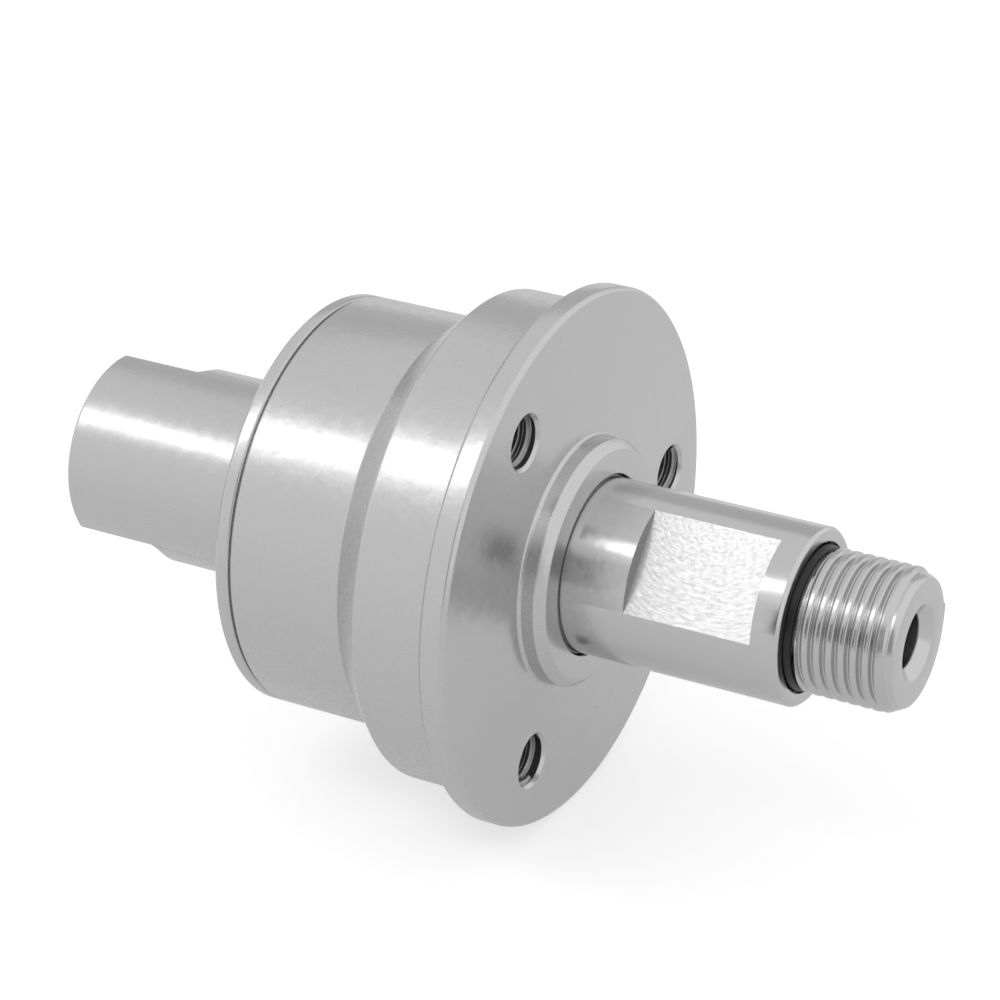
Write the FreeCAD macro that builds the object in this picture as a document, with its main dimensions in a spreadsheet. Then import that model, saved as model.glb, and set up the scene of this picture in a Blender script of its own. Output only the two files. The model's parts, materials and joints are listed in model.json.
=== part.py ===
"""A hydraulic rotary union: a stainless flanged housing that stands still and a shaft that turns in it.

Millimetres. The common axis is +X, from the inlet at the back to the male thread at the front, and the
origin is the centre of the flange's front face. +Z is up. Turned pieces are outlines of (x, radius)
corners spun about X. Threads are plain cylinders at their nominal diameter.
"""
import FreeCAD
import Part
import Sketcher
import math
import os

from FreeCAD import Placement, Rotation, Vector

# Driving sizes: millimetres, degrees, or a count.
SIZES = {
    # How far each cutter runs past the surface that it cuts.
    "cut_margin": 1.0,
    # Flange, with its locating boss in front and the collar behind it.
    "flange_diameter": 80.0,
    "flange_thickness": 4.0,
    "edge_chamfer": 0.6,
    "boss_diameter": 36.8,
    "boss_height": 3.8,
    "boss_chamfer": 1.3,
    "boss_bore": 27.4,
    "boss_lip": 1.0,
    "bolt_circle": 60.0,
    "bolt_count": 3,
    "bolt_thread": 8.0,
    "bolt_countersink": 8.9,
    "bolt_countersink_angle": 90.0,
    "bolt_hole_depth": 12.0,
    "bolt_clocking": 2.6,
    # Collar, cone and body of the housing.
    "collar_diameter": 73.5,
    "cone_front": 16.0,
    "cone_back": 22.0,
    "body_diameter": 62.0,
    "body_back": 39.7,
    "body_chamfer": 0.3,
    # Dust seal.
    "dust_seal_diameter": 37.0,
    "dust_seal_width": 4.0,
    "dust_case_wall": 0.8,
    "dust_case_opening": 29.6,
    "garter_wire": 0.9,
    "garter_setback": 2.6,
    "garter_gap": 0.1,
    "dust_lip_thickness": 1.1,
    "dust_lip_rise": 0.5,
    "dust_lip_edge": 0.25,
    "dust_lip_inset": 0.5,
    # Ball bearings, thin section, two alike.
    "bearing_shoulder": 8.0,
    "shoulder_bore": 41.0,
    "bearing_bore": 30.0,
    "bearing_diameter": 47.0,
    "bearing_width": 9.0,
    "ball_diameter": 4.76,
    "race_to_ball": 0.52,
    "land_to_ball": 0.21,
    "ball_count": 14,
    "ball_clearance": 0.03,
    "ring_chamfer": 0.3,
    "cage_gap": 0.4,
    "cage_margin": 1.44,
    "pocket_clearance": 0.1,
    "shield_thickness": 0.4,
    "shield_inset": 0.3,
    "shield_step": 0.6,
    "shield_gap": 0.3,
    "spacer_length": 3.0,
    "spacer_wall": 2.0,
    "seat_clearance": 0.01,
    # Wave spring between the rear outer ring and the cap.
    "wave_spring_height": 1.4,
    "wave_spring_thickness": 0.4,
    "wave_spring_width": 2.0,
    "wave_count": 4,
    # Inlet cap: nose, thread, ring, stub and port.
    "cap_nose_length": 4.0,
    "cap_nose_clearance": 0.1,
    "cap_cavity": 39.0,
    "cap_cavity_back": 35.0,
    "cap_thread": 50.0,
    "thread_clearance": 0.03,
    "cap_groove_width": 0.4,
    "cap_groove_depth": 0.5,
    "cap_ring_thickness": 2.5,
    "o_ring_groove_width": 2.2,
    "o_ring_height": 1.5,
    "o_ring_clearance": 0.02,
    "stub_diameter": 30.0,
    "stub_back": 79.3,
    "stub_chamfer": 0.6,
    "stub_flats": 27.0,
    "stub_flat_length": 14.4,
    "stub_flat_runout": 1.2,
    "stub_flat_angle": 58.6,
    "port_thread": 20.955,
    "port_depth": 18.0,
    "port_chamfer": 0.8,
    "passage_diameter": 10.0,
    # Pressure seal pack in the cap.
    "seal_bore": 24.0,
    "seal_floor": 58.0,
    "seal_pocket_gap": 1.7,
    "jacket_length": 5.8,
    "jacket_heel": 2.2,
    "lip_thickness": 1.0,
    "lip_tip_thickness": 0.6,
    "seal_spring_thickness": 0.3,
    "seal_spring_gap": 0.05,
    "seal_spring_setback": 0.6,
    "backup_length": 1.5,
    "bush_length": 9.3,
    "washer_thickness": 1.5,
    "circlip_thickness": 1.2,
    "circlip_depth": 0.7,
    "circlip_width": 2.2,
    "circlip_clearance": 0.05,
    "circlip_gap": 2.6,
    "circlip_eye": 2.4,
    "circlip_eye_hole": 1.1,
    "running_clearance": 0.04,
    # Shaft, from the male thread back to the seal journal.
    "shaft_diameter": 26.0,
    "shaft_shoulder": 37.0,
    "shaft_chamfer": 0.5,
    "male_thread": 20.955,
    "male_thread_end": 53.0,
    "male_thread_start": 37.9,
    "male_thread_chamfer": 1.2,
    "male_thread_lead": 2.2,
    "neck_diameter": 18.4,
    "ring_recess_diameter": 21.9,
    "ring_recess_depth": 1.2,
    "seal_ring_length": 2.0,
    "seal_ring_bevel": 0.3,
    "seal_ring_clearance": 0.05,
    "wrench_flats": 21.0,
    "wrench_flat_front": 33.3,
    "wrench_flat_length": 19.5,
    "wrench_flat_angle": 140.5,
    "lip_journal": 26.6,
    "lip_journal_front": 3.9,
    "bearing_seat_front": 5.4,
    "thrust_collar_diameter": 35.0,
    "thrust_collar_length": 3.0,
    "seal_journal": 16.0,
    "shaft_end_gap": 1.0,
    "flow_bore": 8.0,
    "bore_mouth": 11.3,
    # V-ring on the journal behind the thrust collar.
    "v_ring_body": 1.8,
    "v_ring_diameter": 22.4,
    "v_lip_diameter": 27.0,
    "v_lip_gap": 0.15,
    "v_lip_edge": 0.3,
    "v_lip_root": 0.9,
    "v_lip_hinge": 0.1,
}

doc = FreeCAD.newDocument("rotary_union")
sheet = doc.addObject("Spreadsheet::Sheet", "Sizes")
for row, (alias, value) in enumerate(SIZES.items(), start=1):
    sheet.set(f"A{row}", alias)
    sheet.set(f"B{row}", str(value))
    sheet.setAlias(f"B{row}", alias)
doc.recompute()

# Stations along the axis, as formulas of the sizes. Each is an x, so those behind the flange are negative.
LIP_BACK = "(-Sizes.boss_lip)"
DUST_BACK = f"({LIP_BACK} - Sizes.dust_seal_width)"
FRONT_BEARING = "(-Sizes.bearing_shoulder)"
SPACER_FRONT = f"({FRONT_BEARING} - Sizes.bearing_width)"
REAR_BEARING = f"({SPACER_FRONT} - Sizes.spacer_length)"
STACK_BACK = f"({REAR_BEARING} - Sizes.bearing_width)"
NOSE_FRONT = f"({STACK_BACK} - Sizes.wave_spring_height)"
NOSE_BACK = f"({NOSE_FRONT} - Sizes.cap_nose_length)"
BODY_BACK = "(-Sizes.body_back)"
RING_FRONT = f"({BODY_BACK} - Sizes.cap_groove_width)"
RING_BACK = f"({RING_FRONT} - Sizes.cap_ring_thickness)"
STUB_BACK = "(-Sizes.stub_back)"
CAVITY_BACK = "(-Sizes.cap_cavity_back)"
SEAL_FLOOR = "(-Sizes.seal_floor)"
JACKET_BACK = f"({SEAL_FLOOR} + Sizes.seal_pocket_gap)"
JACKET_FRONT = f"({JACKET_BACK} + Sizes.jacket_length)"
BACKUP_FRONT = f"({JACKET_FRONT} + Sizes.backup_length)"
BUSH_FRONT = f"({BACKUP_FRONT} + Sizes.bush_length)"
WASHER_FRONT = f"({BUSH_FRONT} + Sizes.washer_thickness)"
SEAL_CLIP_FRONT = f"({WASHER_FRONT} + Sizes.circlip_thickness)"
SHAFT_BACK = f"({SEAL_FLOOR} + Sizes.shaft_end_gap)"
COLLAR_BACK = f"({STACK_BACK} - Sizes.thrust_collar_length)"
RECESS_FLOOR = "(Sizes.shaft_shoulder - Sizes.ring_recess_depth)"

# Radii that several pieces share.
BEARING_SEAT = "(Sizes.bearing_diameter / 2 + Sizes.seat_clearance)"
PITCH = "((Sizes.bearing_bore + Sizes.bearing_diameter) / 4)"
BALL_RADIUS = "(Sizes.ball_diameter / 2)"
BALL_REACH = f"({BALL_RADIUS} + Sizes.ball_clearance)"
RACE_RADIUS = "(Sizes.race_to_ball * Sizes.ball_diameter)"
RACE_DEPTH = "(Sizes.land_to_ball * Sizes.ball_diameter)"
INNER_LAND = f"({PITCH} - {BALL_REACH} + {RACE_DEPTH})"
OUTER_LAND = f"({PITCH} + {BALL_REACH} - {RACE_DEPTH})"
JOURNAL_RUN = "(Sizes.seal_journal / 2 + Sizes.running_clearance)"
LIP_RUN = "(Sizes.lip_journal / 2 + Sizes.running_clearance)"
O_RING_FLOOR = f"({BEARING_SEAT} - Sizes.o_ring_height)"


def origin_part(body, role):
    """The axis or plane of a body's own origin."""
    return next(part for part in body.Origin.OriginFeatures if part.Role == role)


def new_body(name):
    body = doc.addObject("PartDesign::Body", name)
    body.Label = name
    body.AllowCompound = True
    return body


def new_sketch(body, name, plane="XY_Plane"):
    sketch = body.newObject("Sketcher::SketchObject", f"{body.Name}_{name}")
    sketch.AttachmentSupport = [(origin_part(body, plane), "")]
    sketch.MapMode = "FlatFace"
    return sketch


def place_point(sketch, edge, end, across, upward):
    """Ties one end of an edge, or a circle's centre, to two formulas measured from the sketch's origin."""
    for kind, formula in (("DistanceX", across), ("DistanceY", upward)):
        value = float(sketch.evalExpression(formula))
        index = sketch.addConstraint(Sketcher.Constraint(kind, -1, 1, edge, end, value))
        sketch.setExpression(f"Constraints[{index}]", formula)


def add_loop(sketch, corners, rounded=None, radius=None):
    """A closed outline through corners that are pairs of formulas.

    The edge numbered rounded is an arc of that radius, a left-hand quarter turn. The others are straight.
    """
    points = [Vector(*(float(sketch.evalExpression(formula)) for formula in corner), 0) for corner in corners]
    first = sketch.GeometryCount
    for index, (start, end) in enumerate(zip(points, points[1:] + points[:1])):
        if index == rounded:
            value = float(sketch.evalExpression(radius))
            centre = start + Vector(0, value, 0)
            halfway = centre + ((start + end) / 2 - centre).normalize() * value
            sketch.addGeometry(Part.Arc(start, halfway, end))
            bend = sketch.addConstraint(Sketcher.Constraint("Radius", first + index, value))
            sketch.setExpression(f"Constraints[{bend}]", radius)
        else:
            sketch.addGeometry(Part.LineSegment(start, end))
    for index, corner in enumerate(corners):
        following = first + (index + 1) % len(corners)
        sketch.addConstraint(Sketcher.Constraint("Coincident", first + index, 2, following, 1))
        place_point(sketch, first + index, 1, *corner)


def add_circle(sketch, across, upward, radius):
    """A circle whose centre and radius are formulas."""
    centre = Vector(float(sketch.evalExpression(across)), float(sketch.evalExpression(upward)), 0)
    value = float(sketch.evalExpression(radius))
    edge = sketch.addGeometry(Part.Circle(centre, Vector(0, 0, 1), value))
    place_point(sketch, edge, 3, across, upward)
    index = sketch.addConstraint(Sketcher.Constraint("Radius", edge, value))
    sketch.setExpression(f"Constraints[{index}]", radius)


def spin(body, sketch, kind="Revolution"):
    """Spins a sketch about the body's X axis, to add (Revolution) or to cut (Groove)."""
    feature = body.newObject(f"PartDesign::{kind}", f"{sketch.Name}_{kind.lower()}")
    feature.Profile = sketch
    feature.ReferenceAxis = (origin_part(body, "X_Axis"), [""])
    feature.Angle = 360


def repeat(body, feature, count, name):
    """Copies a feature evenly round the X axis."""
    doc.recompute()
    pattern = body.newObject("PartDesign::PolarPattern", f"{body.Name}_{name}")
    pattern.Originals = [feature]
    pattern.Axis = (origin_part(body, "X_Axis"), [""])
    pattern.Angle = 360
    pattern.setExpression("Occurrences", count)
    body.Tip = pattern


def turned(name, *loops):
    """A body of one or more outlines of (x, radius) corners, spun about X."""
    body = new_body(name)
    sketch = new_sketch(body, "outline")
    for corners in loops:
        add_loop(sketch, corners)
    spin(body, sketch)
    return body


def tube(name, back, front, inner, outer):
    """A plain ring between two stations and two radii."""
    return turned(name, [(back, inner), (front, inner), (front, outer), (back, outer)])


def flanged_housing():
    """Flange, boss, collar, cone and body in one turning, bored from the back."""
    body = turned("flanged_housing", [
        ("Sizes.boss_height", "Sizes.boss_bore / 2"),
        ("Sizes.boss_height", "Sizes.boss_diameter / 2 - Sizes.boss_chamfer"),
        ("Sizes.boss_height - Sizes.boss_chamfer", "Sizes.boss_diameter / 2"),
        ("0", "Sizes.boss_diameter / 2"),
        ("0", "Sizes.flange_diameter / 2 - Sizes.edge_chamfer"),
        ("-Sizes.edge_chamfer", "Sizes.flange_diameter / 2"),
        ("Sizes.edge_chamfer - Sizes.flange_thickness", "Sizes.flange_diameter / 2"),
        ("-Sizes.flange_thickness", "Sizes.flange_diameter / 2 - Sizes.edge_chamfer"),
        ("-Sizes.flange_thickness", "Sizes.collar_diameter / 2"),
        ("-Sizes.cone_front", "Sizes.collar_diameter / 2"),
        ("-Sizes.cone_back", "Sizes.body_diameter / 2"),
        (f"{BODY_BACK} + Sizes.body_chamfer", "Sizes.body_diameter / 2"),
        (BODY_BACK, "Sizes.body_diameter / 2 - Sizes.body_chamfer"),
        (BODY_BACK, "Sizes.cap_thread / 2"),
        (NOSE_BACK, "Sizes.cap_thread / 2"),
        (NOSE_BACK, BEARING_SEAT),
        (FRONT_BEARING, BEARING_SEAT),
        (FRONT_BEARING, "Sizes.shoulder_bore / 2"),
        (DUST_BACK, "Sizes.shoulder_bore / 2"),
        (DUST_BACK, "Sizes.dust_seal_diameter / 2"),
        (LIP_BACK, "Sizes.dust_seal_diameter / 2"),
        (LIP_BACK, "Sizes.boss_bore / 2"),
    ])
    doc.recompute()
    sketch = new_sketch(body, "bolt_hole", "YZ_Plane")
    sketch.setExpression("AttachmentOffset.Rotation.Angle", "Sizes.bolt_clocking")
    add_circle(sketch, "Sizes.bolt_circle / 2", "0", "Sizes.bolt_thread / 2")
    doc.recompute()
    hole = body.newObject("PartDesign::Hole", "flanged_housing_bolt_hole")
    hole.Profile = sketch
    hole.Threaded = False
    hole.DepthType = "Dimension"
    hole.DrillPoint = "Angled"
    hole.HoleCutType = "Countersink"
    hole.setExpression("Diameter", "Sizes.bolt_thread")
    hole.setExpression("Depth", "Sizes.bolt_hole_depth")
    hole.setExpression("HoleCutDiameter", "Sizes.bolt_countersink")
    hole.setExpression("HoleCutCountersinkAngle", "Sizes.bolt_countersink_angle")
    repeat(body, hole, "Sizes.bolt_count", "bolt_holes")


def mill_stub_flats(body):
    """Two opposite flats cut in from the stub's end, each with the cutter's round run-out at its front."""
    sketch = new_sketch(body, "wrench_flats")
    turn = Rotation(Vector(1, 0, 0), sheet.stub_flat_angle)
    sketch.AttachmentOffset = Placement(Vector(0, 0, 0), turn)
    sketch.setExpression("AttachmentOffset.Rotation.Angle", "Sizes.stub_flat_angle")
    back = f"({STUB_BACK} - Sizes.cut_margin)"
    front = f"({STUB_BACK} + Sizes.stub_flat_length)"
    floor = "(Sizes.stub_flats / 2)"
    runout = "Sizes.stub_flat_runout"
    reach = "(Sizes.stub_diameter / 2 + Sizes.cut_margin)"
    add_loop(sketch, [
        (back, floor), (f"{front} - {runout}", floor), (front, f"{floor} + {runout}"),
        (front, reach), (back, reach),
    ], rounded=1, radius=runout)
    pocket = body.newObject("PartDesign::Pocket", "inlet_cap_wrench_flat")
    pocket.Profile = sketch
    pocket.SideType = "Symmetric"
    pocket.setExpression("Length", "Sizes.stub_diameter + 2 * Sizes.cut_margin")
    repeat(body, pocket, "2", "wrench_flats")


def inlet_cap():
    """Screws into the back of the housing, clamps the bearings and carries the seal pack and the port."""
    nose = f"({BEARING_SEAT} - Sizes.cap_nose_clearance)"
    groove_middle = f"({NOSE_FRONT} - Sizes.cap_nose_length / 2)"
    ring_step = "(Sizes.body_diameter / 2 - Sizes.cap_groove_depth)"
    port_floor = f"({STUB_BACK} + Sizes.port_depth)"
    clip_floor = "(Sizes.seal_bore / 2 + Sizes.circlip_depth)"
    body = turned("inlet_cap", [
        (NOSE_FRONT, "Sizes.cap_cavity / 2"),
        (NOSE_FRONT, nose),
        (f"{groove_middle} + Sizes.o_ring_groove_width / 2", nose),
        (f"{groove_middle} + Sizes.o_ring_groove_width / 2", O_RING_FLOOR),
        (f"{groove_middle} - Sizes.o_ring_groove_width / 2", O_RING_FLOOR),
        (f"{groove_middle} - Sizes.o_ring_groove_width / 2", nose),
        (NOSE_BACK, nose),
        (NOSE_BACK, "Sizes.cap_thread / 2 - Sizes.thread_clearance"),
        (BODY_BACK, "Sizes.cap_thread / 2 - Sizes.thread_clearance"),
        (BODY_BACK, ring_step),
        (RING_FRONT, ring_step),
        (RING_FRONT, "Sizes.body_diameter / 2 - Sizes.body_chamfer"),
        (f"{RING_FRONT} - Sizes.body_chamfer", "Sizes.body_diameter / 2"),
        (f"{RING_BACK} + Sizes.edge_chamfer", "Sizes.body_diameter / 2"),
        (RING_BACK, "Sizes.body_diameter / 2 - Sizes.edge_chamfer"),
        (RING_BACK, "Sizes.stub_diameter / 2"),
        (f"{STUB_BACK} + Sizes.stub_chamfer", "Sizes.stub_diameter / 2"),
        (STUB_BACK, "Sizes.stub_diameter / 2 - Sizes.stub_chamfer"),
        (STUB_BACK, "Sizes.port_thread / 2 + Sizes.port_chamfer"),
        (f"{STUB_BACK} + Sizes.port_chamfer", "Sizes.port_thread / 2"),
        (port_floor, "Sizes.port_thread / 2"),
        (port_floor, "Sizes.passage_diameter / 2"),
        (SEAL_FLOOR, "Sizes.passage_diameter / 2"),
        (SEAL_FLOOR, "Sizes.seal_bore / 2"),
        (WASHER_FRONT, "Sizes.seal_bore / 2"),
        (WASHER_FRONT, clip_floor),
        (SEAL_CLIP_FRONT, clip_floor),
        (SEAL_CLIP_FRONT, "Sizes.seal_bore / 2"),
        (CAVITY_BACK, "Sizes.seal_bore / 2"),
        (CAVITY_BACK, "Sizes.cap_cavity / 2"),
    ])
    mill_stub_flats(body)


def cap_o_ring():
    """Seals the cap's nose in the housing's bore."""
    body = new_body("cap_o_ring")
    sketch = new_sketch(body, "section")
    add_circle(sketch, f"{NOSE_FRONT} - Sizes.cap_nose_length / 2",
               f"{O_RING_FLOOR} + Sizes.o_ring_height / 2",
               "Sizes.o_ring_height / 2 - Sizes.o_ring_clearance")
    spin(body, sketch)


def dust_seal():
    """A steel case, a rubber lip bonded in it, and a garter spring that closes the lip on the shaft."""
    case_back = DUST_BACK
    leg_back = f"({LIP_BACK} - Sizes.dust_case_wall)"
    case_outer = "(Sizes.dust_seal_diameter / 2 - Sizes.seat_clearance)"
    case_inner = f"({case_outer} - Sizes.dust_case_wall)"
    opening = "(Sizes.dust_case_opening / 2)"
    turned("dust_seal_case", [
        (LIP_BACK, opening), (LIP_BACK, case_outer), (case_back, case_outer),
        (case_back, case_inner), (leg_back, case_inner), (leg_back, opening),
    ])
    spring_x = f"({LIP_BACK} - Sizes.garter_setback)"
    wire = "(Sizes.garter_wire / 2)"
    channel = f"({LIP_RUN} + Sizes.dust_lip_thickness)"
    lip_back = f"({DUST_BACK} + Sizes.dust_lip_inset)"
    wall_back = f"({spring_x} - {wire} - Sizes.garter_gap)"
    wall_front = f"({spring_x} + {wire} + Sizes.garter_gap)"
    turned("dust_seal_lip", [
        (LIP_BACK, opening),
        (LIP_BACK, f"{LIP_RUN} + Sizes.dust_lip_rise"),
        (f"{spring_x} + Sizes.dust_lip_edge", LIP_RUN),
        (f"{spring_x} - Sizes.dust_lip_edge", LIP_RUN),
        (lip_back, f"{LIP_RUN} + Sizes.dust_lip_rise"),
        (lip_back, f"{channel} + {wire}"),
        (wall_back, f"{channel} + {wire}"),
        (wall_back, channel),
        (wall_front, channel),
        (wall_front, f"{channel} + {wire}"),
        (leg_back, channel),
        (leg_back, opening),
    ])
    body = new_body("dust_seal_garter_spring")
    sketch = new_sketch(body, "section")
    add_circle(sketch, spring_x, f"{channel} + {wire} + Sizes.o_ring_clearance", wire)
    spin(body, sketch)


def race_groove(body, middle, centre):
    """Cuts a ball race, a torus about X, into a bearing ring."""
    doc.recompute()
    sketch = new_sketch(body, "race")
    add_circle(sketch, middle, centre, RACE_RADIUS)
    spin(body, sketch, "Groove")


def ball_bearing(place, front):
    """Rings with ground races, balls in a pocketed cage, and two shields, from the station named front."""
    back = f"({front} - Sizes.bearing_width)"
    middle = f"({front} - Sizes.bearing_width / 2)"
    inner_bore = "(Sizes.bearing_bore / 2)"
    outer_edge = "(Sizes.bearing_diameter / 2)"
    chamfer = "Sizes.ring_chamfer"
    step = f"({OUTER_LAND} + Sizes.shield_step)"
    inset = "(Sizes.shield_inset + Sizes.shield_thickness)"

    outer = turned(f"{place}_bearing_outer_ring", [
        (back, step), (back, f"{outer_edge} - {chamfer}"),
        (f"{back} + {chamfer}", outer_edge), (f"{front} - {chamfer}", outer_edge),
        (front, f"{outer_edge} - {chamfer}"), (front, step),
        (f"{front} - {inset}", step), (f"{front} - {inset}", OUTER_LAND),
        (f"{back} + {inset}", OUTER_LAND), (f"{back} + {inset}", step),
    ])
    race_groove(outer, middle, f"{PITCH} + {BALL_REACH} - {RACE_RADIUS}")

    inner = turned(f"{place}_bearing_inner_ring", [
        (back, f"{inner_bore} + {chamfer}"), (f"{back} + {chamfer}", inner_bore),
        (f"{front} - {chamfer}", inner_bore), (front, f"{inner_bore} + {chamfer}"),
        (front, INNER_LAND), (back, INNER_LAND),
    ])
    race_groove(inner, middle, f"{PITCH} - {BALL_REACH} + {RACE_RADIUS}")

    balls = new_body(f"{place}_bearing_balls")
    ball = balls.newObject("PartDesign::AdditiveSphere", f"{place}_ball")
    ball.AttachmentSupport = [(origin_part(balls, "XY_Plane"), "")]
    ball.MapMode = "FlatFace"
    ball.setExpression("Radius", BALL_RADIUS)
    ball.setExpression("AttachmentOffset.Base.x", middle)
    ball.setExpression("AttachmentOffset.Base.y", PITCH)
    repeat(balls, ball, "Sizes.ball_count", "ring_of_balls")

    cage_half = f"({BALL_RADIUS} + Sizes.cage_margin / 2)"
    cage = tube(f"{place}_bearing_cage", f"{middle} - {cage_half}", f"{middle} + {cage_half}",
                f"{INNER_LAND} + Sizes.cage_gap", f"{OUTER_LAND} - Sizes.cage_gap")
    doc.recompute()
    pocket = cage.newObject("PartDesign::SubtractiveSphere", f"{place}_cage_pocket")
    pocket.AttachmentSupport = [(origin_part(cage, "XY_Plane"), "")]
    pocket.MapMode = "FlatFace"
    pocket.setExpression("Radius", f"{BALL_RADIUS} + Sizes.pocket_clearance")
    pocket.setExpression("AttachmentOffset.Base.x", middle)
    pocket.setExpression("AttachmentOffset.Base.y", PITCH)
    repeat(cage, pocket, "Sizes.ball_count", "ring_of_pockets")

    shield_inner = f"({INNER_LAND} + Sizes.shield_gap)"
    shield_faces = []
    for near, far in ((f"{front} - Sizes.shield_inset", f"{front} - {inset}"),
                      (f"{back} + {inset}", f"{back} + Sizes.shield_inset")):
        shield_faces.append([(near, shield_inner), (near, step), (far, step), (far, shield_inner)])
    turned(f"{place}_bearing_shields", *shield_faces)


def bearing_stack():
    """Two bearings, the sleeves between them, and the wave spring that preloads the outer rings."""
    ball_bearing("front", FRONT_BEARING)
    ball_bearing("rear", REAR_BEARING)
    tube("outer_spacer_sleeve", REAR_BEARING, SPACER_FRONT,
         "Sizes.bearing_diameter / 2 - Sizes.spacer_wall", "Sizes.bearing_diameter / 2")
    tube("inner_spacer_sleeve", REAR_BEARING, SPACER_FRONT,
         "Sizes.bearing_bore / 2", "Sizes.bearing_bore / 2 + Sizes.spacer_wall")
    wave_spring()


def wave_spring():
    """A flat ring bent into even waves, one closed curve at each edge with a ruled strip between."""
    outer = sheet.bearing_diameter / 2 - sheet.cap_nose_clearance
    inner = outer - sheet.wave_spring_width
    swing = (sheet.wave_spring_height - sheet.wave_spring_thickness) / 2
    middle = float(sheet.evalExpression(f"({STACK_BACK} + {NOSE_FRONT}) / 2"))
    back = middle - sheet.wave_spring_thickness / 2
    points_per_wave = 8
    steps = sheet.wave_count * points_per_wave

    def wavy_edge(radius):
        points = []
        for step in range(steps):
            turn = 2 * math.pi * step / steps
            lift = back + swing * math.cos(sheet.wave_count * turn)
            points.append(Vector(lift, radius * math.cos(turn), radius * math.sin(turn)))
        curve = Part.BSplineCurve()
        curve.interpolate(points, PeriodicFlag=True)
        return curve.toShape()

    strip = Part.makeRuledSurface(wavy_edge(inner), wavy_edge(outer))
    spring = doc.addObject("Part::Feature", "preload_wave_spring")
    spring.Shape = strip.extrude(Vector(sheet.wave_spring_thickness, 0, 0))
    spring.Placement = Placement(Vector(0, 0, 0), Rotation())


def circlip(name, back, front, seat, outwards):
    """A retaining ring with a gap and two eyes for pliers; seat is the radius of its groove's floor."""
    body = new_body(name)
    sketch = new_sketch(body, "outline")
    if outwards:
        near, far = f"({seat} - Sizes.circlip_clearance)", f"({seat} - Sizes.circlip_width)"
    else:
        near, far = f"({seat} + Sizes.circlip_clearance)", f"({seat} + Sizes.circlip_width)"
    add_loop(sketch, [(back, near), (front, near), (front, far), (back, far)])
    spin(body, sketch)
    doc.recompute()

    half_gap = "(Sizes.circlip_gap / 2)"
    reach = f"({seat} + Sizes.circlip_width)"
    cutter_start = f"{front} + Sizes.cut_margin"
    cutter_length = f"{front} - {back} + 2 * Sizes.cut_margin"
    gap = new_sketch(body, "gap", "YZ_Plane")
    gap.setExpression("AttachmentOffset.Base.z", cutter_start)
    add_loop(gap, [(f"-{half_gap}", "0"), (half_gap, "0"), (half_gap, reach), (f"-{half_gap}", reach)])
    cut = body.newObject("PartDesign::Pocket", f"{name}_gap_cut")
    cut.Profile = gap
    cut.setExpression("Length", cutter_length)
    doc.recompute()

    eyes = new_sketch(body, "eyes", "YZ_Plane")
    eyes.setExpression("AttachmentOffset.Base.z", back)
    holes = new_sketch(body, "eye_holes", "YZ_Plane")
    holes.setExpression("AttachmentOffset.Base.z", cutter_start)
    for side in ("", "-"):
        across = f"{side}({half_gap} + Sizes.circlip_eye / 2)"
        add_circle(eyes, across, far, "Sizes.circlip_eye / 2")
        add_circle(holes, across, far, "Sizes.circlip_eye_hole / 2")
    pad = body.newObject("PartDesign::Pad", f"{name}_eyes_pad")
    pad.Profile = eyes
    pad.setExpression("Length", f"{front} - {back}")
    doc.recompute()
    drill = body.newObject("PartDesign::Pocket", f"{name}_eye_holes_cut")
    drill.Profile = holes
    drill.setExpression("Length", cutter_length)


def seal_pack():
    """Bush, back-up ring, U-cup with its spring, washer and circlip, in the bore of the cap."""
    bore = "(Sizes.seal_bore / 2)"
    heel_back = f"({JACKET_FRONT} - Sizes.jacket_heel)"
    turned("pressure_seal_jacket", [
        (JACKET_FRONT, JOURNAL_RUN), (JACKET_FRONT, bore),
        (JACKET_BACK, bore), (JACKET_BACK, f"{bore} - Sizes.lip_tip_thickness"),
        (heel_back, f"{bore} - Sizes.lip_thickness"),
        (heel_back, f"{JOURNAL_RUN} + Sizes.lip_thickness"),
        (JACKET_BACK, f"{JOURNAL_RUN} + Sizes.lip_tip_thickness"), (JACKET_BACK, JOURNAL_RUN),
    ])
    inner_leg = f"({JOURNAL_RUN} + Sizes.lip_thickness + Sizes.seal_spring_gap)"
    outer_leg = f"({bore} - Sizes.lip_thickness - Sizes.seal_spring_gap)"
    leaf = "Sizes.seal_spring_thickness"
    spring_back = f"({JACKET_BACK} + Sizes.seal_spring_setback)"
    turned("pressure_seal_spring", [
        (heel_back, inner_leg), (heel_back, outer_leg),
        (spring_back, outer_leg), (spring_back, f"{outer_leg} - {leaf}"),
        (f"{heel_back} - {leaf}", f"{outer_leg} - {leaf}"),
        (f"{heel_back} - {leaf}", f"{inner_leg} + {leaf}"),
        (spring_back, f"{inner_leg} + {leaf}"), (spring_back, inner_leg),
    ])
    tube("backup_ring", JACKET_FRONT, BACKUP_FRONT, JOURNAL_RUN, bore)
    tube("guide_bush", BACKUP_FRONT, BUSH_FRONT, JOURNAL_RUN, bore)
    tube("seal_retaining_washer", BUSH_FRONT, WASHER_FRONT,
         f"{JOURNAL_RUN} + Sizes.shield_gap", bore)
    circlip("seal_circlip", WASHER_FRONT, SEAL_CLIP_FRONT, f"({bore} + Sizes.circlip_depth)", True)


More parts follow.
